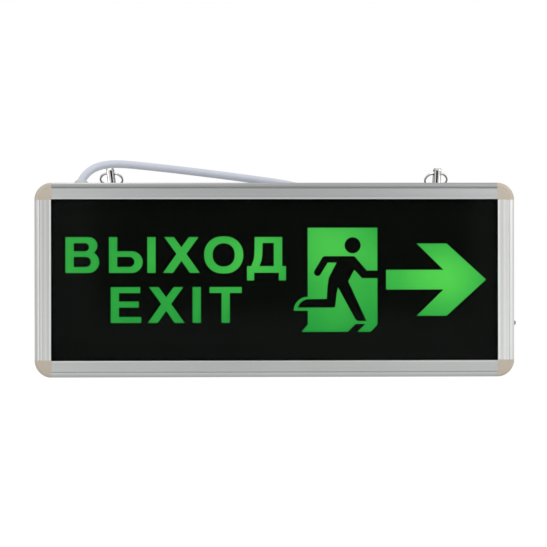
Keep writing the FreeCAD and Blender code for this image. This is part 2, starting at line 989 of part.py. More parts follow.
def make_panels():
    """Clear front, printed mask with its legend openings, green film, diffuser and back."""
    middle = size("sign_height") / 2
    keep(panel("front_panel", glass_front, size("glass_thickness")), "front_glass")
    words_left = left_edge + size("legend_margin")
    openings = word("upper_word", UPPER_WORD, words_left, middle + size("upper_baseline_rise"))
    lower_left = words_left + size("lower_word_indent")
    openings += word("lower_word", LOWER_WORD, lower_left, middle - size("lower_baseline_drop"))
    tip = right_edge - size("arrow_margin")
    openings.append(place(arrow("arrow"), tip, mask_front, middle))
    door_left = tip - size("arrow_length") - size("door_gap") - size("door_width")
    door_low = size("sign_height") - size("face_width") - size("door_top_drop") - size("door_height")
    openings.append(make_pictogram(door_left, door_low))
    sheet = panel("mask_sheet", mask_front, size("mask_thickness"))
    keep(cut("mask_cut", sheet, fuse("legend", openings)), "black_mask")
    keep(panel("film_sheet", film_front, size("film_thickness")), "green_film")
    keep(panel("diffuser_sheet", diffuser_front, size("diffuser_thickness")), "diffuser")
    back = panel("back_sheet", back_panel_front, size("back_thickness"))
    keep(cut("back_cut", back, fuse("keyholes", keyholes())), "back_panel")


def keyholes():
    """Two keyholes for wall screws: a round entry and a slot above it."""
    tools = []
    height = size("sign_height") - size("keyhole_drop")
    for side in (-1, 1):
        across = side * size("keyhole_spacing") / 2
        name = f"keyhole_{side + 1}"
        thick = size("back_thickness")
        half = size("keyhole_slot") / 2
        entry = rod(name + "_entry", ALONG_Y, size("keyhole_radius"), thick, across, back_panel_front, height)
        slot = block(
            name + "_slot",
            (across - half, across + half),
            (back_panel_front, back_panel_back),
            (height, height + size("keyhole_rise")),
        )
        tools += [entry, slot]
    return tools


# ---------------------------------------------------------------- lamps and reflector

def lamp_levels():
    """Heights of the two lamp bars, above and below the middle of the sign."""
    middle = size("sign_height") / 2
    return {"lower": middle - size("lamp_bar_drop"), "upper": middle + size("lamp_bar_rise")}


LAMPS_IN_A_ROW = 4
lamp_bar_front = back_panel_front - size("board_thickness")
lamp_front = lamp_bar_front - size("lamp_height")


def lamp_places():
    """Name, centre across and height of each lamp."""
    places = []
    for level, height in lamp_levels().items():
        for number in range(LAMPS_IN_A_ROW):
            across = (number - (LAMPS_IN_A_ROW - 1) / 2) * size("lamp_pitch")
            places.append((f"lamp_{level}_{number + 1}", across, height))
    return places


def lamp_block(name, across, height, play, depth):
    half = size("lamp_size") / 2 + play
    return block(name, (across - half, across + half), depth, (height - half, height + half))


def make_lamps():
    """Two boards with four lamps each, and a white reflector with a window for each lamp."""
    reach = half_width - size("face_width") - size("lamp_bar_inset")
    half = size("lamp_bar_height") / 2
    for level, height in lamp_levels().items():
        depth = (lamp_bar_front, back_panel_front)
        board = block(f"{level}_board", (-reach, reach), depth, (height - half, height + half))
        keep(board, f"lamp_bar_{level}")
    windows = []
    reflector_back = lamp_bar_front
    reflector_front = reflector_back - size("reflector_thickness")
    for name, across, height in lamp_places():
        keep(lamp_block(name + "_block", across, height, 0.0, (lamp_front, lamp_bar_front)), name)
        play = size("lamp_window_play")
        windows.append(lamp_block(name + "_window", across, height, play, (reflector_front, reflector_back)))
    wide = right_edge - size("reflector_inset")
    low = works_top + size("works_play")
    high = size("sign_height") - size("face_width") - size("reflector_top_gap")
    sheet = block("reflector_sheet", (-wide, wide), (reflector_front, reflector_back), (low, high))
    keep(cut("reflector_cut", sheet, fuse("lamp_windows", windows)), "reflector")


# ---------------------------------------------------------------- battery and driver

works_low = size("face_width") + size("works_play")
works_top = works_low + size("works_height")
works_middle = (works_low + works_top) / 2
CELLS = 3


def make_battery():
    """Three cells in one sleeve, held on the back panel by two cradles."""
    start = left_edge + size("battery_inset")
    depth = back_panel_front - size("clip_wall") - size("clip_play") - size("cell_radius")
    pack = new_body("pack_body")
    radius = size("cell_radius")
    neck = radius - size("cell_neck")
    edge = size("cell_neck")
    outline = [(0.0, 0.0)]
    for number in range(CELLS):
        low = number * size("cell_length")
        high = (number + 1) * size("cell_length")
        outline += [(low, neck), (low + edge, radius), (high - edge, radius)]
    outline += [(high, neck), (high, 0.0)]
    revolve(pack, "pack_turned", "XZ_Plane", [list(reversed(outline))], "H_Axis")
    keep(place(pack, start, depth, works_middle), "battery_pack")
    for number in (1, 2):
        middle = start + (number - 0.5) * (CELLS / 2) * size("cell_length")
        make_clip(f"battery_clip_{number}", middle, depth)


def make_clip(label, middle, depth):
    """A cradle with two springy walls round a cell."""
    hollow_radius = size("cell_radius") + size("clip_play")
    half = hollow_radius + size("clip_wall")
    across = (middle - size("clip_width") / 2, middle + size("clip_width") / 2)
    upright = (works_middle - half, works_middle + half)
    solid = block(label + "_block", across, (depth - hollow_radius / 2, back_panel_front), upright)
    hollow = rod(
        label + "_hollow", ALONG_X, hollow_radius, size("clip_width"), across[0], depth, works_middle
    )
    keep(cut(label + "_cut", solid, hollow), label)


def make_driver():
    """The driver board beside the battery, with its main components."""
    end = right_edge - size("driver_inset")
    start = end - size("driver_length")
    front = back_panel_front - size("driver_thickness")
    keep(block("board", (start, end), (front, back_panel_front), (works_low, works_top)), "driver_board")
    wide = size("transformer_width")
    left = start + size("driver_length") * 0.4
    deep = size("transformer_depth")
    core = block(
        "core",
        (left, left + wide),
        (front - deep, front),
        (works_middle - size("transformer_height") / 2, works_middle + size("transformer_height") / 2),
    )
    hang = size("winding_overhang")
    winding = block(
        "winding",
        (left - hang, left + wide + hang),
        (front - deep + hang, front - hang / 2),
        (works_middle - size("transformer_height") / 4, works_middle + size("transformer_height") / 4),
    )
    keep(fuse("core_and_winding", [core, winding]), "transformer")
    can_left = left + wide + 3 * hang
    can = rod(
        "can",
        ALONG_X,
        size("capacitor_radius"),
        size("capacitor_length"),
        can_left,
        front - size("capacitor_radius"),
        works_middle,
    )
    keep(can, "capacitor")
    make_fuse(can_left + size("capacitor_length") + 3 * hang, front)
    make_terminal(start + 2 * hang, front)


def make_fuse(left, front):
    """A glass fuse between two end caps, which stand on the board."""
    radius = size("fuse_radius")
    caps = []
    last = size("fuse_length") - size("fuse_cap_length")
    for number, shift in enumerate((Size.of(0.0), last)):
        caps.append(block(
            f"fuse_cap_{number}",
            (left + shift, left + shift + size("fuse_cap_length")),
            (front - 2 * radius - 0.6, front),
            (works_middle - radius - 0.3, works_middle + radius + 0.3),
        ))
    tube = rod("fuse_tube", ALONG_X, radius, size("fuse_length"), left, front - radius - 0.3, works_middle)
    keep(fuse("fuse_whole", caps + [tube]), "fuse")


def make_terminal(left, front):
    """Terminal block with three wire entries in its upper side."""
    high = works_middle + size("terminal_height") / 2
    low = works_middle - size("terminal_height") / 2
    deep = size("terminal_depth")
    wide = size("terminal_width")
    solid = block("terminal_solid", (left, left + wide), (front - deep, front), (low, high))
    entries = []
    for number in range(3):
        across = left + wide * (number + 0.5) / 3
        entries.append(rod(
            f"entry_{number}", Rotation(), size("terminal_bore"), size("terminal_height") / 2,
            across, front - deep / 2, works_middle,
        ))
    keep(cut("terminal_cut", solid, fuse("entries", entries)), "terminal_block")


# ---------------------------------------------------------------- test button and switch

switch_right = half_width - inner_web - 0.4 * size("switch_wall")
switch_left = switch_right - size("switch_length")


def button_hole():
    """Holes through the right side: a wide one in its outer web for the knob, a narrow one for the shaft."""
    gap = size("button_running_gap")
    web = size("web_thickness")
    rise = size("button_rise")
    narrow = size("button_shaft_radius") + gap
    outer = rod("knob_way", ALONG_X, size("button_radius") + gap, web, half_width - web, 0.0, rise)
    inner = rod("shaft_way", ALONG_X, narrow, inner_web - web, half_width - inner_web, 0.0, rise)
    return fuse("button_ways", [outer, inner])


def make_button():
    """A round knob on a shaft, with a collar in the chamber that keeps it from falling out."""
    knob = new_body("button_body")
    reach = size("switch_wall") + size("button_travel")
    inner_end = switch_right - reach - half_width + size("button_travel")
    shaft = size("button_shaft_radius")
    collar_out = -size("web_thickness") - size("button_running_gap")
    collar_in = collar_out - size("button_collar_length")
    top = size("button_proud")
    edge = size("button_radius") / 3
    outline = [
        (inner_end, 0.0),
        (top, 0.0),
        (top, size("button_radius") - edge),
        (top - edge, size("button_radius")),
        (collar_out, size("button_radius")),
        (collar_out, size("button_collar_radius")),
        (collar_in, size("button_collar_radius")),
        (collar_in, shaft),
        (inner_end, shaft),
    ]
    revolve(knob, "button_turned", "XZ_Plane", [outline], "H_Axis")
    keep(place(knob, half_width, 0.0, size("button_rise")), "test_button")


def make_switch():
    """The switch that the button works, on a small upright board behind it."""
    half = size("switch_width") / 2
    rise = size("button_rise")
    solid = block("switch_solid", (switch_left, switch_right), (-half, half), (rise - half, rise + half))
    clear = size("button_shaft_radius") + 2 * size("button_running_gap")
    deep = size("switch_wall") + 2 * size("button_travel")
    well = rod("switch_well", ALONG_X, clear, deep, switch_right - deep, 0.0, rise)
    keep(cut("switch_cut", solid, well), "test_switch")
    board_left = switch_left - size("board_thickness")
    tall = size("switch_board_height") / 2
    board = block("switch_card", (board_left, switch_left), (-half, back_panel_front), (rise - tall, rise + tall))
    keep(board, "switch_board")


# ---------------------------------------------------------------- hangers

lug_half_gap = size("lug_gap") / 2
lug_across = half_width - size("lug_from_end")
LUGS = {
    "left": (-lug_across, Size.of(0.0), -SIZES["left_lug_lean"]),
    "right": (lug_across, size("right_lug_setback"), SIZES["right_lug_lean"]),
}


def leg_span(sign, setback):
    """Depth taken by one leg's slot."""
    play = size("lug_slot_play") / 2
    low = lug_half_gap - play
    high = lug_half_gap + size("lug_thickness") + play
    if sign < 0:
        return setback - high, setback - low
    return setback + low, setback + high


def lug_slots(which, prefix="web"):
    """The two slots that a lug's legs pass through."""
    across, setback, _ = LUGS[which]
    half = size("lug_width") / 2 + size("lug_slot_play")
    low = size("sign_height") - size("web_thickness") - size("plate_thickness")
    slots = []
    for sign in (-1, 1):
        name = f"{prefix}_{which}_slot_{sign + 1}"
        upright = (low, size("sign_height"))
        slots.append(block(name, (across - half, across + half), leg_span(sign, setback), upright))
    return slots


def make_lug(which):
    """A strip bent into a loop, with its feet turned out under a plate inside the top side."""
    across, setback, lean = LUGS[which]
    gap = lug_half_gap
    thick = size("lug_thickness")
    crown = size("lug_height") - thick
    level = crown - size("lug_bend")
    turn = gap - size("lug_bend")
    below = -(size("web_thickness") + size("plate_thickness") + size("lug_slack") + thick)
    outside = gap + thick
    toe = outside + size("lug_foot")
    outline = [
        (-toe, below),
        (-gap, below),
        (-gap, level, -turn, level, -1),
        (-turn, crown),
        (turn, crown, turn, level, -1),
        (gap, level),
        (gap, below),
        (toe, below),
        (toe, below + thick),
        (outside, below + thick),
        (outside, level, turn, level, 1),
        (turn, size("lug_height")),
        (-turn, size("lug_height"), -turn, level, 1),
        (-outside, level),
        (-outside, below + thick),
        (-toe, below + thick),
    ]
    lug = new_body(which + "_lug_body")
    pad(lug, which + "_strip", "YZ_Plane", [outline], size("lug_width"), midplane=True)
    lug.Placement = Placement(Vector(), Rotation(Vector(0, 1, 0), lean))
    keep(place(lug, across, setback, size("sign_height")), which + "_hanger_lug")
    half_long = size("plate_length") / 2
    half_wide = size("plate_width") / 2
    top = size("sign_height") - size("web_thickness")
    plate = block(
        which + "_plate",
        (across - half_long, across + half_long),
        (setback - half_wide, setback + half_wide),
        (top - size("plate_thickness"), top),
    )
    slots = fuse(which + "_plate_slots", lug_slots(which, "plate"))
    keep(cut(which + "_plate_cut", plate, slots), which + "_lug_plate")


def hinge_of(which):
    """Middle of the ring's wire under the crown of its lug, which leans to one side."""
    across, setback, lug_lean = LUGS[which]
    rise = (size("lug_height") - size("lug_thickness") - size("ring_drop")).number
    slant = math.radians(lug_lean)
    height = SIZES["sign_height"] + rise * math.cos(slant)
    return Vector(across.number + rise * math.sin(slant), setback.number, height)


def resting_lean(hinge):
    """Angle in degrees below the level at which a ring leans on the top's back edge."""
    height = hinge.z - SIZES["sign_height"]
    reach = (half_depth - size("shoulder_drop")).number - hinge.y
    corner_of_wire = math.hypot(SIZES["ring_wire"] / 2, SIZES["ring_stack"] / 2 - SIZES["ring_edge"])
    clear = corner_of_wire + SIZES["ring_rest_gap"]
    slope = math.degrees(math.atan2(height, reach))
    return slope - math.degrees(math.asin(clear / math.hypot(height, reach)))


def make_ring(which):
    """A split ring of two flat turns, resting back through its lug."""
    outer = size("ring_radius")
    inner = outer - size("ring_wire")
    half = size("ring_stack") / 2
    edge = size("ring_edge")
    seam = size("ring_seam")
    outline = [
        (inner, edge - half),
        (inner + edge, -half),
        (outer - edge, -half),
        (outer, edge - half),
        (outer, -seam / 2),
        (outer - seam, 0.0),
        (outer, seam / 2),
        (outer, half - edge),
        (outer - edge, half),
        (inner + edge, half),
        (inner, half - edge),
        (inner, seam / 2),
        (inner + seam, 0.0),
        (inner, -seam / 2),
    ]
    ring = new_body(which + "_ring_body")
    revolve(ring, which + "_turns", "XZ_Plane", [outline], "V_Axis")
    hinge = hinge_of(which)
    lean = resting_lean(hinge)
    middle = (outer - size("ring_wire") / 2).number
    tilt = math.radians(lean)
    centre = hinge + Vector(0, middle * math.cos(tilt), -middle * math.sin(tilt))
    ring.Placement = Placement(centre, Rotation(Vector(1, 0, 0), -lean))
    print(f"{which} ring: hinge at {hinge.x:.3f}, {hinge.y:.3f}, {hinge.z:.3f}, lean {lean:.2f} degrees")
    keep(ring, which + "_split_ring")


def make_hangers():
    for which in LUGS:
        make_lug(which)
        make_ring(which)


# ---------------------------------------------------------------- grommet and mains cable

gland_across = -half_width + size("gland_from_end")


def gland_hole():
    web = size("web_thickness")
    low = size("sign_height") - web
    return rod(
        "gland_way", Rotation(), size("gland_neck_radius"), web, gland_across, size("gland_setback"), low
    )


def make_gland():
    """A rubber grommet: a domed flange, a neck through the web and a barb under it."""
    gland = new_body("gland_body")
    bore = size("cable_diameter") / 2
    flange = size("gland_radius")
    high = size("gland_height")
    web = size("web_thickness")
    crown = size("gland_crown")
    barb_low = -web - size("gland_barb_height")
    neck = size("gland_neck_radius")
    barb = size("gland_barb_radius")
    outline = [
        (bore, barb_low),
        (neck, barb_low),
        (barb, -web),
        (neck, -web),
        (neck, 0.0),
        (flange, 0.0),
        (flange, crown),
        (bore + crown, high),
        (bore, high),
    ]
    revolve(gland, "gland_turned", "XZ_Plane", [outline], "V_Axis")
    keep(place(gland, gland_across, size("gland_setback"), size("sign_height")), "cable_gland")


def bend_at(before, corner, after):
    """Tangent arc at a corner of the route, as large as the two runs allow: (start, middle, end, radius)."""
    back = before - corner
    ahead = after - corner
    reach = 0.45 * min(back.Length, ahead.Length)
    start = corner + back.normalize() * reach
    end = corner + ahead.normalize() * reach
    half_turn = (math.pi - back.getAngle(ahead)) / 2
    radius = reach / math.tan(half_turn)
    inward = ((start + end) / 2 - corner).normalize()
    middle = corner + inward * (radius / math.cos(half_turn) - radius)
    return start, middle, end, radius


def tube(route, radius):
    """A round bar along straight runs joined by tangent arcs."""
    points = [Vector(*p) for p in route]
    edges = []
    radii = []
    here = points[0]
    for before, corner, after in zip(points, points[1:], points[2:]):
        start, middle, end, bend = bend_at(before, corner, after)
        edges.append(Part.LineSegment(here, start).toShape())
        edges.append(Part.Arc(start, middle, end).toShape())
        radii.append(bend)
        here = end
    edges.append(Part.LineSegment(here, points[-1]).toShape())
    path = Part.Wire(edges)
    ring = Part.Circle(points[0], points[1] - points[0], radius).toShape()
    solid = path.makePipeShell([Part.Wire([ring])], True, False)
    print("cable bend radii:", [round(r, 1) for r in radii])
    print(f"cable length {path.Length:.1f}, volume against section {solid.Volume:.1f}", end=" ")
    print(f"{math.pi * radius**2 * path.Length:.1f}")
    return solid


def make_cable():
    """The mains cable, its three cores at the cut end, and a ferrule on each core."""
    cable = doc.addObject("Part::Feature", "cable_sheath")
    cable.Shape = tube(CABLE_ROUTE, SIZES["cable_diameter"] / 2)
    keep(cable, "mains_cable")
    last = Vector(*CABLE_ROUTE[-1])
    heading = (last - Vector(*CABLE_ROUTE[-2])).normalize()
    beside = heading.cross(Vector(0, 0, 1)).normalize()
    above = beside.cross(heading).normalize()
    for number, name in enumerate(("brown", "blue", "earth")):
        angle = math.radians(90 + 120 * number)
        out = beside * math.cos(angle) + above * math.sin(angle)
        start = last + heading * SIZES["core_gap"] + out * SIZES["core_pitch_radius"]
        lean = beside * math.cos(angle) * math.tan(math.radians(SIZES["core_splay"]))
        direction = (heading + lean).normalize()
        turn = Rotation(Vector(0, 0, 1), direction)
        core = doc.addObject("Part::Cylinder", name)
        core.Placement = Placement(start, turn)
        core.setExpression("Radius", size("core_radius").formula)
        core.setExpression("Height", size("core_length").formula)
        keep(core, "core_" + name)
        ferrule = doc.addObject("Part::Cylinder", name + "_tip")
        ferrule.Placement = Placement(start + direction * SIZES["core_length"], turn)
        ferrule.setExpression("Radius", size("ferrule_radius").formula)
        ferrule.setExpression("Height", size("ferrule_length").formula)
        keep(ferrule, "ferrule_" + name)


# ---------------------------------------------------------------- build, check and write

def check():
    """Stop if any object failed, or if a piece has no valid shape."""
    for thing in doc.Objects:
        if "Invalid" in thing.State or "Error" in thing.State:
            raise RuntimeError(f"{thing.Label} is {thing.State}")
    for piece in PIECES:
        if piece.Shape.isNull() or not piece.Shape.isValid():
            raise RuntimeError(f"{piece.Label} has no valid shape")


def write():
    """Write each piece to its own file."""
    os.makedirs("parts", exist_ok=True)
    for piece in PIECES:
        piece.Shape.exportStep(f"parts/{piece.Label}.step")
    print(len(PIECES), "pieces written")


make_frame()
make_corners()
make_screws()
make_panels()
make_lamps()
make_battery()
make_driver()
make_button()
make_switch()
make_hangers()
make_gland()
make_cable()
doc.recompute()
check()
write()
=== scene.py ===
"""Looks of the emergency exit light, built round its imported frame.

Metres. X runs to the right along the sign, the legend faces -Y, and +Z is up.
"""

import math

import bmesh
import bpy
from mathutils import Matrix, Vector


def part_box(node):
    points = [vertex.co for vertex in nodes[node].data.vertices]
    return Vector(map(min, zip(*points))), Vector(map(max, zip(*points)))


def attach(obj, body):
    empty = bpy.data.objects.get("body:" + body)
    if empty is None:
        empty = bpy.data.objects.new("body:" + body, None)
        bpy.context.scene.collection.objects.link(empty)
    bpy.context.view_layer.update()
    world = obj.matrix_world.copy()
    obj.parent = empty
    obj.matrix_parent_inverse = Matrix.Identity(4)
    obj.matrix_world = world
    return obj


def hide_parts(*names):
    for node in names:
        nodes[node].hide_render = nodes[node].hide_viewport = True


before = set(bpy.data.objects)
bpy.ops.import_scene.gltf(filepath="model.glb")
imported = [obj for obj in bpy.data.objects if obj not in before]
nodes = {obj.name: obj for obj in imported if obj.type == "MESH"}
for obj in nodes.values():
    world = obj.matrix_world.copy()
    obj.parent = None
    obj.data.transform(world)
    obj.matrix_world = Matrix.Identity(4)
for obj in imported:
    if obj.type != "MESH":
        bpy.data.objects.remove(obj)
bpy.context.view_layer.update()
scene = bpy.context.scene

# ---------------------------------------------------------------- sizes shared by the pieces

MM = 0.001
HALF_WIDTH = 179.0 * MM
HALF_DEPTH = 12.5 * MM
HEIGHT = 145.0 * MM
FACE_WIDTH = 12.5 * MM

# camera: the point it looks at, how far off it stands, its turn and roll, its lens and sensor in millimetres
VIEW_POINT = Vector((-1.2 * MM, -HALF_DEPTH, 77.25 * MM))
VIEW_DISTANCE = 1.0
VIEW_TURN = math.radians(1.0)
VIEW_ROLL = math.radians(0.08)
VIEW_LENS = 88.35
VIEW_SENSOR = 36.0

CABLE_DIAMETER = 6.0 * MM
CABLE_ROUTE = [
    (-147.0, 4.0, 145.6),
    (-145.0, 6.4, 149.8),
    (-141.7, 9.7, 154.4),
    (-137.0, 13.4, 158.0),
    (-131.0, 17.0, 160.4),
    (-123.7, 20.2, 161.5),
    (-114.0, 22.7, 161.4),
    (-98.0, 23.9, 159.9),
    (-74.0, 24.4, 157.3),
    (-45.0, 25.0, 153.8),
    (-15.0, 25.6, 149.9),
    (12.0, 26.2, 146.1),
    (33.0, 26.7, 140.2),
    (50.0, 27.2, 130.2),
    (62.0, 27.6, 117.0),
    (69.5, 28.0, 100.5),
    (72.5, 28.2, 82.0),
    (71.5, 28.6, 62.0),
    (66.0, 29.0, 44.5),
    (56.5, 29.6, 29.0),
    (43.0, 30.4, 16.2),
    (26.5, 31.4, 7.2),
    (7.0, 32.6, 3.6),
    (-20.0, 34.2, 3.1),
    (-50.0, 36.4, 3.06),
    (-82.0, 37.2, 3.1),
    (-112.0, 36.2, 3.06),
]

# spots of lamp light on the film: across, height, reach, strength
LAMP_SPOTS = [
    (128.0, 72.0, 44.0, 0.78),
    (96.0, 72.0, 36.0, 0.28),
    (40.0, 98.0, 42.0, 0.60),
    (72.0, 92.0, 30.0, 0.25),
    (-16.0, 91.0, 36.0, 0.50),
    (48.0, 58.0, 36.0, 0.28),
    (-82.0, 90.0, 26.0, 0.20),
    (-54.0, 92.0, 28.0, 0.20),
    (-38.0, 68.0, 28.0, 0.15),
]

# film: its dim, middle and full tones, and the light's rise between two heights and its unevenness
FILM_TONES = [(0.011, 0.305, 0.039), (0.053, 0.500, 0.065), (0.090, 0.650, 0.077)]
FILM_FRONT = -7.0 * MM
FILM_LOW = 30.0 * MM
FILM_HIGH = 82.0 * MM
FILM_RISE = 0.22
FILM_UNEVEN = 0.22

# strip of each hanger lug: middle across, lean in degrees, and how far its crown is off centre
STRIPS = {"left": (-122.5, -7.0, 0.2), "right": (122.5, 3.0, 0.1)}
# how strong the crown is, and the painted dark reflection along the edges: where it starts and ends from the
# middle, and its tone
STRIP_CROWN = 55.0
PAINTED_DARK_START = 1.7 * MM
PAINTED_DARK_END = 2.3 * MM
PAINTED_EDGE_DARK = (0.16, 0.16, 0.155, 1.0)
STRIP_EASE = 0.42 * MM

# ring: centre, lean back from level, and where its two turns cross over, both in degrees
RINGS = {
    "left_split_ring": ((-123.505, 7.037, 148.787), 32.03, 62.0),
    "right_split_ring": ((122.932, 8.222, 148.371), 35.91, 118.0),
}
RING_RADIUS = 8.3 * MM
RING_WIRE = 1.4 * MM
RING_TURN = 0.74 * MM
RING_EASE = 0.2 * MM
# how many turns the wire makes, and the part of its length in which it crosses over
COIL_TURNS = 1.93
CROSSING_START = 0.465
CROSSING_END = 0.535

# edges that turn by more than this many degrees stay sharp
RING_SHARP = 50.0
STRIP_SHARP = 35.0

# floor: half its side, its glow, and how much of the glow the background rays see; and the light of the sky
FLOOR_REACH = 6.0
FLOOR_GLOW = 1.22
FLOOR_SHARE = 0.72
SKY_LIGHT = 0.55


# ---------------------------------------------------------------- camera

def set_camera():
    away = Vector((-math.sin(VIEW_TURN), -math.cos(VIEW_TURN), 0.0)) * VIEW_DISTANCE
    lens = bpy.data.cameras.new("view")
    lens.lens = VIEW_LENS
    lens.sensor_width = VIEW_SENSOR
    lens.clip_start = 0.01
    camera = bpy.data.objects.new("view", lens)
    camera.location = VIEW_POINT + away
    camera.rotation_euler = (math.radians(90.0), VIEW_ROLL, -VIEW_TURN)
    scene.collection.objects.link(camera)
    scene.camera = camera


# ---------------------------------------------------------------- small helpers for node trees

def link(tree, start, end):
    tree.links.new(start, end)


def feed(tree, value, socket):
    """Give a socket its link or its plain value."""
    if isinstance(value, bpy.types.NodeSocket):
        link(tree, value, socket)
    else:
        socket.default_value = value


def node(tree, kind, **values):
    """Add a node; a keyword is one of its settings, or the name of an input with _ for a space."""
    made = tree.nodes.new(kind)
    for name, value in values.items():
        if hasattr(made, name):
            setattr(made, name, value)
        else:
            feed(tree, value, made.inputs[name.replace("_", " ")])
    return made


def maths(tree, operation, first, second=0.0, clamp=False):
    made = tree.nodes.new("ShaderNodeMath")
    made.operation = operation
    made.use_clamp = clamp
    for number, value in enumerate((first, second)):
        feed(tree, value, made.inputs[number])
    return made.outputs[0]


def blend_colours(tree, share, first, second):
    made = tree.nodes.new("ShaderNodeMix")
    made.data_type = "RGBA"
    for number, value in ((0, share), (6, first), (7, second)):
        feed(tree, value, made.inputs[number])
    return made.outputs[2]


def spread(tree, value, low, high):
    """Bring a value that runs from 0 to 1 between two others."""
    made = tree.nodes.new("ShaderNodeMapRange")
    link(tree, value, made.inputs["Value"])
    made.inputs["To Min"].default_value = low
    made.inputs["To Max"].default_value = high
    return made.outputs[0]


def new_group(name, sockets_in, sockets_out):
    tree = bpy.data.node_groups.new(name, "ShaderNodeTree")
    for label, kind, value in sockets_in:
        socket = tree.interface.new_socket(label, in_out="INPUT", socket_type=kind)
        if value is not None:
            socket.default_value = value
    for label, kind in sockets_out:
        tree.interface.new_socket(label, in_out="OUTPUT", socket_type=kind)
    return tree, tree.nodes.new("NodeGroupInput"), tree.nodes.new("NodeGroupOutput")


def make_grain_group():
    """Fine moulded or sprayed grain: a slow cloud for tone, and a fine one for the surface."""
    tree, given, out = new_group(
        "fine_grain",
        [
            ("Place", "NodeSocketVector", None),
            ("Cloud scale", "NodeSocketFloat", 60.0),
            ("Grain scale", "NodeSocketFloat", 2500.0),
            ("Depth", "NodeSocketFloat", 0.00002),
        ],
        [("Cloud", "NodeSocketFloat"), ("Grain", "NodeSocketFloat"), ("Normal", "NodeSocketVector")],
    )
    place, depth = given.outputs["Place"], given.outputs["Depth"]
    cloud = node(tree, "ShaderNodeTexNoise", Vector=place, Scale=given.outputs["Cloud scale"], Detail=3.0)
    grain = node(tree, "ShaderNodeTexNoise", Vector=place, Scale=given.outputs["Grain scale"], Detail=2.0)
    bump = node(tree, "ShaderNodeBump", Height=grain.outputs[0], Distance=depth, Strength=1.0)
    link(tree, cloud.outputs[0], out.inputs["Cloud"])
    link(tree, grain.outputs[0], out.inputs["Grain"])
    link(tree, bump.outputs[0], out.inputs["Normal"])
    return tree


def make_drawn_group():
    """Lines drawn along a bar by its die: noise stretched along the bar."""
    tree, given, out = new_group(
        "drawn_lines",
        [
            ("Place", "NodeSocketVector", None),
            ("Stretch", "NodeSocketVector", (4.0, 900.0, 900.0)),
            ("Depth", "NodeSocketFloat", 0.00002),
        ],
        [("Lines", "NodeSocketFloat"), ("Normal", "NodeSocketVector")],
    )
    turned = node(tree, "ShaderNodeVectorMath", operation="MULTIPLY")
    link(tree, given.outputs["Place"], turned.inputs[0])
    link(tree, given.outputs["Stretch"], turned.inputs[1])
    broad = node(tree, "ShaderNodeTexNoise", Vector=turned.outputs[0], Scale=0.6, Detail=2.0)
    fine = node(tree, "ShaderNodeTexNoise", Vector=turned.outputs[0], Scale=3.0, Detail=3.0)
    broad_part = maths(tree, "MULTIPLY", broad.outputs[0], 0.6)
    fine_part = maths(tree, "MULTIPLY", fine.outputs[0], 0.4)
    both = maths(tree, "ADD", broad_part, fine_part)
    bump = node(tree, "ShaderNodeBump", Height=both, Distance=given.outputs["Depth"], Strength=1.0)
    link(tree, both, out.inputs["Lines"])
    link(tree, bump.outputs[0], out.inputs["Normal"])
    return tree


def make_glow_group():
    """The spot of light that a lamp throws on the film: 1 at its middle, 0 at its reach."""
    tree, given, out = new_group(
        "lamp_glow",
        [
            ("Place", "NodeSocketVector", None),
            ("Centre", "NodeSocketVector", None),
            ("Reach", "NodeSocketFloat", 0.03),
        ],
        [("Glow", "NodeSocketFloat")],
    )
    apart = node(tree, "ShaderNodeVectorMath", operation="DISTANCE")
    link(tree, given.outputs["Place"], apart.inputs[0])
    link(tree, given.outputs["Centre"], apart.inputs[1])
    share = maths(tree, "DIVIDE", apart.outputs["Value"], given.outputs["Reach"])
    ramp = node(
        tree, "ShaderNodeMapRange", Value=share, interpolation_type="SMOOTHSTEP", To_Min=1.0, To_Max=0.0
    )
    link(tree, ramp.outputs[0], out.inputs["Glow"])
    return tree


GRAIN = make_grain_group()
DRAWN = make_drawn_group()
GLOW = make_glow_group()


def new_material(name):
    """A named material with one plain shader, and the piece's own coordinates."""
    made = bpy.data.materials.new(name)
    made.use_nodes = True
    tree = made.node_tree
    shader = tree.nodes["Principled BSDF"]
    place = tree.nodes.new("ShaderNodeTexCoord").outputs["Object"]
    return made, tree, shader, place


def use_group(tree, group, place, **values):
    made = tree.nodes.new("ShaderNodeGroup")
    made.node_tree = group
    link(tree, place, made.inputs["Place"])
    for name, value in values.items():
        made.inputs[name.replace("_", " ")].default_value = value
    return made


def moulded(name, dark, light, roughness=(0.4, 0.5), cloud=60.0, grain=2500.0, depth=0.02, **settings):
    """A plastic, rubber, paint or print: two close tones in a slow cloud, and a fine grain."""
    made, tree, shader, place = new_material(name)
    surface = use_group(tree, GRAIN, place, Cloud_scale=cloud, Grain_scale=grain, Depth=depth * MM)
    colour = blend_colours(tree, surface.outputs["Cloud"], (*dark, 1.0), (*light, 1.0))
    link(tree, colour, shader.inputs["Base Color"])
    link(tree, spread(tree, surface.outputs["Grain"], *roughness), shader.inputs["Roughness"])
    link(tree, surface.outputs["Normal"], shader.inputs["Normal"])
    for label, value in settings.items():
        shader.inputs[label.replace("_", " ")].default_value = value
    return made


# ---------------------------------------------------------------- materials of the frame

def paint_band_light(tree, place, across, edge, painted_bands):
    """Painted light and shade in bands across a bar, by distance from its outer edge: painted shade in the
    groove, painted highlights on the lip. Each band is (millimetres, tone).
    """
    parts = node(tree, "ShaderNodeSeparateXYZ", Vector=place)
    distance = parts.outputs[across]
    if across == "X":
        distance = maths(tree, "ABSOLUTE", distance)
    distance = maths(tree, "ABSOLUTE", maths(tree, "SUBTRACT", edge, distance))
    ramp = tree.nodes.new("ShaderNodeValToRGB")
    link(tree, maths(tree, "DIVIDE", distance, FACE_WIDTH, clamp=True), ramp.inputs[0])
    stops = ramp.color_ramp.elements
    while len(stops) < len(painted_bands):
        stops.new(1.0)
    for stop, (spot, tone) in zip(stops, painted_bands):
        stop.position = spot * MM / FACE_WIDTH
        stop.color = (tone, tone, tone, 1.0)
    return ramp.outputs[0]


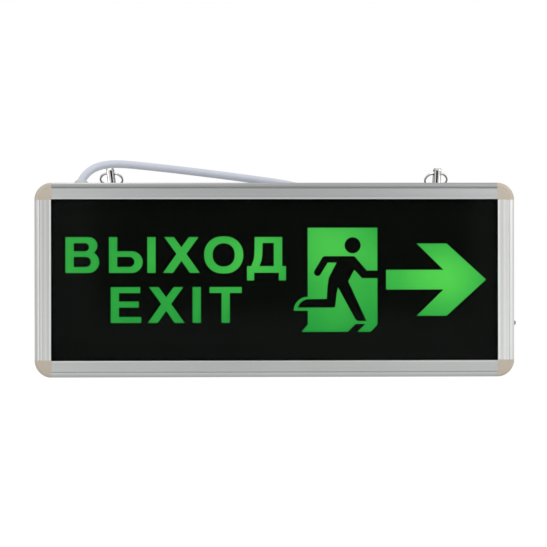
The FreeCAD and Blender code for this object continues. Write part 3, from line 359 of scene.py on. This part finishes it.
def make_aluminium(name, stretch, dark, light, across, edge, painted_bands):
    """Satin anodised aluminium, with bands of painted light and shade across the bar and the fine lines of
    its extrusion.
    """
    made, tree, shader, place = new_material(name)
    drawn = use_group(tree, DRAWN, place, Stretch=stretch, Depth=0.010 * MM)
    cloud = node(tree, "ShaderNodeTexNoise", Vector=place, Scale=14.0, Detail=2.0)
    lines = maths(tree, "MULTIPLY", drawn.outputs["Lines"], 0.7)
    tone = maths(tree, "ADD", lines, maths(tree, "MULTIPLY", cloud.outputs[0], 0.3))
    plain = blend_colours(tree, tone, (*dark, 1.0), (*light, 1.0))
    # the bands' painted light and shade, multiplied into the bar's colour
    painted_light_mix = node(tree, "ShaderNodeMix", data_type="RGBA", blend_type="MULTIPLY")
    painted_light_mix.inputs[0].default_value = 1.0
    link(tree, plain, painted_light_mix.inputs[6])
    link(tree, paint_band_light(tree, place, across, edge, painted_bands), painted_light_mix.inputs[7])
    link(tree, painted_light_mix.outputs[2], shader.inputs["Base Color"])
    link(tree, spread(tree, drawn.outputs["Lines"], 0.30, 0.42), shader.inputs["Roughness"])
    link(tree, drawn.outputs["Normal"], shader.inputs["Normal"])
    shader.inputs["Metallic"].default_value = 0.85
    return made


def make_film():
    """The green film, lit from behind by its rows of lamps."""
    made, tree, shader, place = new_material("lit_green_film")
    height = node(tree, "ShaderNodeSeparateXYZ", Vector=place).outputs["Z"]
    upward = node(
        tree,
        "ShaderNodeMapRange",
        Value=height,
        From_Min=FILM_LOW,
        From_Max=FILM_HIGH,
        To_Min=0.0,
        To_Max=FILM_RISE,
    )
    light = upward.outputs[0]
    for across, rise, reach, strength in LAMP_SPOTS:
        centre = (across * MM, FILM_FRONT, rise * MM)
        glow = use_group(tree, GLOW, place, Centre=centre, Reach=reach * MM)
        part = maths(tree, "MULTIPLY", glow.outputs["Glow"], strength)
        light = maths(tree, "ADD", light, part)
    cloud = node(tree, "ShaderNodeTexNoise", Vector=place, Scale=45.0, Detail=2.0)
    uneven = maths(tree, "MULTIPLY", maths(tree, "SUBTRACT", cloud.outputs[0], 0.5), FILM_UNEVEN)
    light = maths(tree, "ADD", light, uneven, clamp=True)
    glass = tree.nodes.new("ShaderNodeValToRGB")
    link(tree, light, glass.inputs[0])
    stops = glass.color_ramp.elements
    stops.new(0.6)
    for stop, tone in zip(stops, FILM_TONES):
        stop.color = (*tone, 1.0)
    link(tree, glass.outputs[0], shader.inputs["Emission Color"])
    shader.inputs["Emission Strength"].default_value = 1.0
    unlit = blend_colours(tree, cloud.outputs[0], (0.010, 0.09, 0.016, 1.0), (0.014, 0.12, 0.020, 1.0))
    link(tree, unlit, shader.inputs["Base Color"])
    shader.inputs["Roughness"].default_value = 0.35
    shader.inputs["IOR"].default_value = 1.15
    return made


def make_cover():
    """The clear acrylic sheet in front of the print."""
    made, tree, shader, place = new_material("clear_cover")
    smear = node(tree, "ShaderNodeTexNoise", Vector=place, Scale=18.0, Detail=3.0, Distortion=0.6)
    colour = blend_colours(tree, smear.outputs[0], (0.004, 0.0045, 0.004, 1.0), (0.008, 0.009, 0.008, 1.0))
    link(tree, colour, shader.inputs["Base Color"])
    link(tree, spread(tree, smear.outputs[0], 0.06, 0.10), shader.inputs["Alpha"])
    link(tree, spread(tree, smear.outputs[0], 0.03, 0.10), shader.inputs["Roughness"])
    shader.inputs["IOR"].default_value = 1.3
    return made


def make_metal(name, dark, light, roughness, depth=0.004):
    """A bare or plated metal with a fine scratched tone."""
    made, tree, shader, place = new_material(name)
    surface = use_group(tree, GRAIN, place, Cloud_scale=150.0, Grain_scale=1800.0, Depth=depth * MM)
    colour = blend_colours(tree, surface.outputs["Cloud"], (*dark, 1.0), (*light, 1.0))
    link(tree, colour, shader.inputs["Base Color"])
    link(tree, spread(tree, surface.outputs["Grain"], *roughness), shader.inputs["Roughness"])
    link(tree, surface.outputs["Normal"], shader.inputs["Normal"])
    shader.inputs["Metallic"].default_value = 1.0
    return made


def make_strip(side):
    """Bright strip for a lug, rolled to a slight crown across its width, with a painted dark reflection along
    its edges.
    """
    made, tree, shader, place = new_material(side + "_bright_strip")
    middle, lean, offset = STRIPS[side]
    parts = node(tree, "ShaderNodeSeparateXYZ", Vector=place).outputs
    rise = maths(tree, "SUBTRACT", parts["Z"], HEIGHT)
    slant = maths(tree, "MULTIPLY", rise, math.tan(math.radians(lean)))
    across = maths(tree, "SUBTRACT", maths(tree, "SUBTRACT", parts["X"], (middle + offset) * MM), slant)
    crown = maths(tree, "MULTIPLY", maths(tree, "MULTIPLY", across, across), -STRIP_CROWN)
    rolled = node(tree, "ShaderNodeBump", Height=crown, Distance=1.0, Strength=1.0)
    link(tree, rolled.outputs[0], shader.inputs["Normal"])
    cloud = node(tree, "ShaderNodeTexNoise", Vector=place, Scale=300.0, Detail=3.0)
    tone = blend_colours(tree, cloud.outputs[0], (0.56, 0.56, 0.55, 1.0), (0.70, 0.69, 0.67, 1.0))
    off_middle = maths(tree, "ABSOLUTE", maths(tree, "SUBTRACT", across, -offset * MM))
    # painted dark reflection along the strip's edges, put into its base colour
    painted_dark = node(tree, "ShaderNodeMapRange", Value=off_middle, From_Min=PAINTED_DARK_START, From_Max=PAINTED_DARK_END)
    link(tree, blend_colours(tree, painted_dark.outputs[0], tone, PAINTED_EDGE_DARK), shader.inputs["Base Color"])
    link(tree, spread(tree, cloud.outputs[0], 0.05, 0.12), shader.inputs["Roughness"])
    shader.inputs["Metallic"].default_value = 1.0
    return made


def make_earth_core():
    """Green insulation with its yellow stripe along the upper side."""
    made, tree, shader, place = new_material("earth_insulation")
    height = node(tree, "ShaderNodeSeparateXYZ", Vector=place).outputs["Z"]
    low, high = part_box("core_earth")
    stripe = maths(tree, "GREATER_THAN", height, low.z * 0.4 + high.z * 0.6)
    colour = blend_colours(tree, stripe, (0.03, 0.28, 0.05, 1.0), (0.75, 0.62, 0.03, 1.0))
    link(tree, colour, shader.inputs["Base Color"])
    surface = use_group(tree, GRAIN, place, Grain_scale=4000.0, Depth=0.01 * MM)
    link(tree, surface.outputs["Normal"], shader.inputs["Normal"])
    shader.inputs["Roughness"].default_value = 0.4
    return made


def make_sheath():
    """The pale sheath of the mains cable, faintly bloomed."""
    made, tree, shader, place = new_material("pale_sheath")
    surface = use_group(tree, GRAIN, place, Cloud_scale=40.0, Grain_scale=1800.0, Depth=0.02 * MM)
    colour = blend_colours(tree, surface.outputs["Cloud"], (0.62, 0.655, 0.745, 1.0), (0.68, 0.71, 0.79, 1.0))
    link(tree, colour, shader.inputs["Base Color"])
    link(tree, spread(tree, surface.outputs["Grain"], 0.38, 0.5), shader.inputs["Roughness"])
    link(tree, surface.outputs["Normal"], shader.inputs["Normal"])
    return made


def make_materials():
    along_x = (4.0, 1100.0, 1100.0)
    along_z = (1100.0, 1100.0, 4.0)
    # base tones of the level and upright bars; the uprights are lighter with painted light from the lamps at
    # the sides
    level = ((0.50, 0.512, 0.508), (0.66, 0.672, 0.666))
    upright_lit = ((0.55, 0.558, 0.55), (0.70, 0.706, 0.694))
    # painted light and shade across each bar: painted shade in the groove, painted highlights on the lip,
    # lighter and darker tones on the shoulder, and each bar lit to its own level, the right bar brightest and
    # the top bar darkest
    top_painted_light = [
        (0.0, 0.62),
        (2.9, 0.60),
        (3.3, 0.64),
        (4.4, 0.74),
        (4.9, 0.99),
        (10.8, 1.0),
        (11.3, 0.92),
        (11.9, 1.05),
    ]
    bottom_painted_light = [
        (0.6, 0.68),
        (1.8, 0.74),
        (2.9, 0.88),
        (4.2, 0.98),
        (4.9, 0.90),
        (11.0, 0.90),
        (11.8, 1.0),
    ]
    left_painted_light = [
        (0.4, 0.84),
        (1.5, 0.64),
        (2.1, 0.70),
        (2.9, 1.12),
        (3.6, 1.22),
        (4.4, 0.90),
        (5.0, 1.24),
        (5.8, 0.90),
        (7.2, 0.94),
        (8.4, 1.08),
        (9.6, 0.92),
        (10.8, 0.93),
        (11.8, 1.2),
    ]
    right_painted_light = [
        (0.5, 0.98),
        (1.5, 0.94),
        (2.9, 1.18),
        (3.6, 1.00),
        (4.3, 1.45),
        (5.1, 1.12),
        (6.0, 1.14),
        (7.4, 1.28),
        (8.8, 1.04),
        (10.4, 1.08),
        (11.4, 1.30),
    ]
    top = make_aluminium("anodised_top_painted_light", along_x, *level, "Z", HEIGHT, top_painted_light)
    bottom = make_aluminium("anodised_bottom_painted_light", along_x, *level, "Z", 0.0, bottom_painted_light)
    left = make_aluminium("anodised_left_painted_light", along_z, *upright_lit, "X", HALF_WIDTH, left_painted_light)
    right = make_aluminium("anodised_right_painted_light", along_z, *upright_lit, "X", HALF_WIDTH, right_painted_light)
    corner = moulded(
        "almond_plastic",
        (0.53, 0.465, 0.38),
        (0.60, 0.53, 0.44),
        (0.42, 0.55),
        cloud=90.0,
        grain=3000.0,
        depth=0.03,
    )
    laminate = moulded("green_laminate", (0.012, 0.11, 0.035), (0.02, 0.15, 0.05), cloud=300.0)
    cell = moulded("blue_sleeve", (0.02, 0.10, 0.30), (0.03, 0.13, 0.36), (0.25, 0.35))
    plated = make_metal("zinc_plate", (0.50, 0.51, 0.52), (0.62, 0.62, 0.60), (0.25, 0.38))
    bright = make_metal("bright_nickel", (0.60, 0.60, 0.59), (0.72, 0.71, 0.69), (0.06, 0.13), depth=0.001)
    tin = make_metal("dull_tin", (0.55, 0.55, 0.54), (0.68, 0.68, 0.66), (0.3, 0.42))
    lamp = moulded("lamp_resin", (0.80, 0.74, 0.40), (0.88, 0.82, 0.50), (0.2, 0.3), cloud=500.0)
    board = moulded("white_laminate", (0.80, 0.81, 0.80), (0.88, 0.89, 0.88), cloud=200.0)
    table = {
        top: ["top_profile"],
        bottom: ["bottom_profile"],
        left: ["left_profile"],
        right: ["right_profile"],
        corner: [name for name in nodes if name.startswith("corner_")],
        make_cover(): ["front_glass"],
        moulded(
            "black_print",
            (0.0030, 0.0038, 0.0030),
            (0.0044, 0.0052, 0.0042),
            (0.20, 0.22),
            cloud=25.0,
            depth=0.0002,
            IOR=1.06,
        ): ["black_mask"],
        make_film(): ["green_film"],
        moulded("opal_sheet", (0.84, 0.86, 0.85), (0.90, 0.91, 0.90), (0.2, 0.3)): ["diffuser"],
        moulded(
            "sprayed_back",
            (0.55, 0.565, 0.56),
            (0.62, 0.63, 0.62),
            (0.45, 0.58),
            grain=1400.0,
            depth=0.03,
        ): ["back_panel"],
        moulded("white_foam_sheet", (0.86, 0.86, 0.85), (0.92, 0.92, 0.91), (0.6, 0.7)): ["reflector"],
        laminate: ["driver_board", "switch_board"],
        board: ["lamp_bar_lower", "lamp_bar_upper"],
        lamp: [name for name in nodes if name.startswith(("lamp_lower_", "lamp_upper_"))],
        moulded("varnished_core", (0.10, 0.05, 0.015), (0.16, 0.08, 0.03), (0.3, 0.4)): ["transformer"],
        moulded("dark_sleeve", (0.01, 0.012, 0.04), (0.016, 0.02, 0.06), (0.25, 0.35)): ["capacitor"],
        moulded("fuse_tube", (0.60, 0.62, 0.62), (0.72, 0.74, 0.74), (0.1, 0.2)): ["fuse"],
        moulded("terminal_green", (0.02, 0.22, 0.10), (0.03, 0.27, 0.13)): ["terminal_block"],
        moulded(
            "grey_knob",
            (0.26, 0.26, 0.25),
            (0.33, 0.33, 0.32),
            (0.4, 0.5),
            grain=4000.0,
            depth=0.01,
        ): ["test_button"],
        moulded("black_switch", (0.012, 0.012, 0.012), (0.02, 0.02, 0.02)): ["test_switch"],
        cell: ["battery_pack"],
        plated: [
            name
            for name in nodes
            if name.startswith(("screw_", "battery_clip_")) or name.endswith("_lug_plate")
        ],
        bright: [name for name in nodes if name.endswith("_split_ring")],
        make_strip("left"): ["left_hanger_lug"],
        make_strip("right"): ["right_hanger_lug"],
        moulded(
            "grey_grommet",
            (0.58, 0.59, 0.59),
            (0.66, 0.67, 0.67),
            (0.5, 0.62),
            grain=3000.0,
        ): ["cable_gland"],
        make_sheath(): ["mains_cable"],
        moulded("brown_insulation", (0.09, 0.035, 0.012), (0.13, 0.05, 0.02), (0.35, 0.45)): ["core_brown"],
        moulded("blue_insulation", (0.01, 0.06, 0.30), (0.02, 0.09, 0.38), (0.35, 0.45)): ["core_blue"],
        make_earth_core(): ["core_earth"],
        tin: [name for name in nodes if name.startswith("ferrule_")],
    }
    for material, names in table.items():
        for name in names:
            data = nodes[name].data
            data.materials.clear()
            data.materials.append(material)
    bare = [name for name in nodes if not nodes[name].data.materials]
    assert not bare, bare
    return {material.name: material for material in table}


# ---------------------------------------------------------------- mains cable


def add_cable(material):
    line = bpy.data.curves.new("mains_lead", "CURVE")
    line.dimensions = "3D"
    spline = line.splines.new("NURBS")
    spline.points.add(len(CABLE_ROUTE) - 1)
    for point, spot in zip(spline.points, CABLE_ROUTE):
        point.co = (*(value * MM for value in spot), 1.0)
    spline.order_u = 3
    spline.use_endpoint_u = True
    spline.resolution_u = 12
    line.bevel_depth = CABLE_DIAMETER / 2
    line.bevel_resolution = 8
    line.use_fill_caps = True
    line.materials.append(material)
    lead = bpy.data.objects.new("mains_lead", line)
    scene.collection.objects.link(lead)
    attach(lead, "sign")
    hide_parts("mains_cable")


# ---------------------------------------------------------------- split rings

def coil_tree(material):
    """Two flat turns of wire that cross over once, swept from a spiral."""
    tree = bpy.data.node_groups.new("split_ring_coil", "GeometryNodeTree")
    sizes = {"Radius": RING_RADIUS, "Wire": RING_WIRE, "Turn": RING_TURN, "Ease": RING_EASE}
    for label, value in sizes.items():
        socket = tree.interface.new_socket(label, in_out="INPUT", socket_type="NodeSocketFloat")
        socket.default_value = value
    tree.interface.new_socket("Coil", in_out="OUTPUT", socket_type="NodeSocketGeometry")
    given = tree.nodes.new("NodeGroupInput").outputs
    out = tree.nodes.new("NodeGroupOutput")
    line = node(tree, "GeometryNodeCurveSpiral", Resolution=72, Rotations=COIL_TURNS, Height=0.0)
    link(tree, given["Radius"], line.inputs["Start Radius"])
    link(tree, given["Radius"], line.inputs["End Radius"])
    along = tree.nodes.new("GeometryNodeSplineParameter").outputs["Factor"]
    step = node(
        tree,
        "ShaderNodeMapRange",
        Value=along,
        interpolation_type="SMOOTHSTEP",
        From_Min=CROSSING_START,
        From_Max=CROSSING_END,
    )
    step.inputs["To Min"].default_value = -0.5
    step.inputs["To Max"].default_value = 0.5
    rise = maths(tree, "MULTIPLY", step.outputs[0], given["Turn"])
    lift = tree.nodes.new("ShaderNodeCombineXYZ")
    link(tree, rise, lift.inputs["Z"])
    moved = tree.nodes.new("GeometryNodeSetPosition")
    link(tree, line.outputs[0], moved.inputs["Geometry"])
    link(tree, lift.outputs[0], moved.inputs["Offset"])
    level = node(tree, "GeometryNodeSetCurveNormal", mode="Z_UP")
    link(tree, moved.outputs[0], level.inputs[0])
    section = tree.nodes.new("GeometryNodeCurvePrimitiveQuadrilateral")
    link(tree, given["Wire"], section.inputs["Width"])
    link(tree, maths(tree, "MULTIPLY", given["Turn"], 0.97), section.inputs["Height"])
    eased = node(tree, "GeometryNodeFilletCurve", mode="POLY", Count=4)
    link(tree, section.outputs[0], eased.inputs["Curve"])
    link(tree, given["Ease"], eased.inputs["Radius"])
    swept = tree.nodes.new("GeometryNodeCurveToMesh")
    link(tree, level.outputs[0], swept.inputs["Curve"])
    link(tree, eased.outputs[0], swept.inputs["Profile Curve"])
    swept.inputs["Fill Caps"].default_value = True
    whole = tree.nodes.new("GeometryNodeRealizeInstances")
    link(tree, swept.outputs[0], whole.inputs[0])
    painted = node(tree, "GeometryNodeSetMaterial", Material=material)
    link(tree, whole.outputs[0], painted.inputs["Geometry"])
    link(tree, painted.outputs[0], out.inputs[0])
    return tree


def made_mesh(name, tree):
    """Run a tree on an empty piece, and keep what it makes as a plain mesh."""
    piece = bpy.data.objects.new(name, bpy.data.meshes.new(name + "_start"))
    scene.collection.objects.link(piece)
    modifier = piece.modifiers.new("make", "NODES")
    modifier.node_group = tree
    view = bpy.context.evaluated_depsgraph_get()
    mesh = bpy.data.meshes.new_from_object(piece.evaluated_get(view))
    piece.modifiers.clear()
    piece.data = mesh
    return piece


def shade_smooth(mesh, angle):
    """Smooth its faces, and keep the edges that turn by more than the angle, in degrees."""
    form = bmesh.new()
    form.from_mesh(mesh)
    for face in form.faces:
        face.smooth = True
    for edge in form.edges:
        if len(edge.link_faces) == 2 and edge.calc_face_angle(0.0) > math.radians(angle):
            edge.smooth = False
    form.to_mesh(mesh)
    form.free()


def add_rings(material):
    tree = coil_tree(material)
    for name, (centre, lean, crossing) in RINGS.items():
        ring = made_mesh(name.replace("split_ring", "ring_coil"), tree)
        centre = Vector(centre) * MM
        place = Matrix.Translation(centre) @ Matrix.Rotation(math.radians(-lean), 4, "X")
        ring.data.transform(place @ Matrix.Rotation(math.radians(crossing), 4, "Z"))
        shade_smooth(ring.data, RING_SHARP)
        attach(ring, name.replace("_split_ring", "_ring"))
        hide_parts(name)


# ---------------------------------------------------------------- hanger lugs

def add_lugs(materials):
    """The bent strips with the rolled edges of their stock."""
    for side in ("left", "right"):
        source = nodes[side + "_hanger_lug"]
        form = bmesh.new()
        form.from_mesh(source.data)
        bmesh.ops.remove_doubles(form, verts=form.verts, dist=0.00001)
        bmesh.ops.dissolve_limit(form, angle_limit=math.radians(1.0), verts=form.verts, edges=form.edges)
        mesh = bpy.data.meshes.new(side + "_hanger_strip")
        form.to_mesh(mesh)
        form.free()
        strip = bpy.data.objects.new(side + "_hanger_strip", mesh)
        scene.collection.objects.link(strip)
        rolled = strip.modifiers.new("rolled_edges", "BEVEL")
        rolled.width = STRIP_EASE
        rolled.segments = 4
        rolled.limit_method = "ANGLE"
        rolled.angle_limit = math.radians(50.0)
        view = bpy.context.evaluated_depsgraph_get()
        strip.data = bpy.data.meshes.new_from_object(strip.evaluated_get(view))
        strip.modifiers.clear()
        strip.data.materials.clear()
        strip.data.materials.append(materials[side + "_bright_strip"])
        shade_smooth(strip.data, STRIP_SHARP)
        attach(strip, "sign")
        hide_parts(source.name)


# ---------------------------------------------------------------- stage and light

def see_background(tree):
    """1 for the rays that see the background: the camera's, and those off metal and through glass."""
    path = tree.nodes.new("ShaderNodeLightPath").outputs
    seen = maths(tree, "MAXIMUM", path["Is Camera Ray"], path["Is Glossy Ray"])
    return maths(tree, "MAXIMUM", seen, path["Is Transmission Ray"])


def add_floor():
    mesh = bpy.data.meshes.new("floor")
    corners = [(x * FLOOR_REACH, y * FLOOR_REACH, 0) for x, y in ((-1, -1), (1, -1), (1, 1), (-1, 1))]
    mesh.from_pydata(corners, [], [(0, 1, 2, 3)])
    made = bpy.data.materials.new("pale_floor")
    made.use_nodes = True
    tree = made.node_tree
    tree.nodes.clear()
    matt = node(tree, "ShaderNodeBsdfDiffuse", Color=(0.86, 0.86, 0.86, 1.0))
    white = node(tree, "ShaderNodeEmission", Color=(1.0, 1.0, 1.0, 1.0), Strength=FLOOR_GLOW)
    share = maths(tree, "MULTIPLY", see_background(tree), FLOOR_SHARE)
    mixed = tree.nodes.new("ShaderNodeMixShader")
    link(tree, share, mixed.inputs[0])
    link(tree, matt.outputs[0], mixed.inputs[1])
    link(tree, white.outputs[0], mixed.inputs[2])
    out = tree.nodes.new("ShaderNodeOutputMaterial")
    link(tree, mixed.outputs[0], out.inputs["Surface"])
    mesh.materials.append(made)
    floor = bpy.data.objects.new("floor", mesh)
    scene.collection.objects.link(floor)


def add_card(name, corner, along, up):
    """A black card that only bright metal and gloss see; it gives the metal its dark tones."""
    corner, along, up = Vector(corner), Vector(along), Vector(up)
    mesh = bpy.data.meshes.new(name)
    mesh.from_pydata([corner, corner + along, corner + along + up, corner + up], [], [(0, 1, 2, 3)])
    made = bpy.data.materials.new("black_card")
    made.use_nodes = True
    tree = made.node_tree
    shader = tree.nodes["Principled BSDF"]
    shader.inputs["Base Color"].default_value = (0.006, 0.006, 0.006, 1.0)
    shader.inputs["Roughness"].default_value = 1.0
    mesh.materials.append(made)
    card = bpy.data.objects.new(name, mesh)
    card.visible_camera = False
    card.visible_diffuse = False
    card.visible_shadow = False
    card.visible_transmission = False
    scene.collection.objects.link(card)


def add_lamp(name, place, size, power):
    data = bpy.data.lights.new(name, "AREA")
    data.shape = "RECTANGLE"
    data.size, data.size_y = size
    data.energy = power
    lamp = bpy.data.objects.new(name, data)
    lamp.location = place
    aim = Vector((0.0, 0.0, HEIGHT / 2)) - Vector(place)
    lamp.rotation_euler = aim.to_track_quat("-Z", "Y").to_euler()
    scene.collection.objects.link(lamp)


def set_world():
    world = bpy.data.worlds.new("studio")
    scene.world = world
    world.use_nodes = True
    tree = world.node_tree
    tree.nodes.clear()
    soft = node(tree, "ShaderNodeBackground", Color=(1.0, 1.0, 1.0, 1.0), Strength=SKY_LIGHT)
    white = node(tree, "ShaderNodeBackground", Color=(1.0, 1.0, 1.0, 1.0), Strength=1.0)
    mixed = tree.nodes.new("ShaderNodeMixShader")
    link(tree, see_background(tree), mixed.inputs[0])
    link(tree, soft.outputs[0], mixed.inputs[1])
    link(tree, white.outputs[0], mixed.inputs[2])
    out = tree.nodes.new("ShaderNodeOutputWorld")
    link(tree, mixed.outputs[0], out.inputs["Surface"])


def set_stage():
    scene.view_settings.view_transform = "Standard"
    set_world()
    add_floor()
    add_card("card_front", (-0.33, -1.7, -0.3), (0.76, 0.0, 0.0), (0.0, 0.0, 1.0))
    add_lamp("key", (0.95, -0.85, 0.75), (0.6, 0.9), 6.0)
    add_lamp("fill", (-1.05, -0.9, 0.6), (0.6, 0.9), 2.6)
    add_lamp("upper_left", (-0.38, -0.05, 1.15), (0.35, 0.5), 1.6)


set_camera()
materials = make_materials()
add_cable(materials["pale_sheath"])
add_rings(materials["bright_nickel"])
add_lugs(materials)
set_stage()
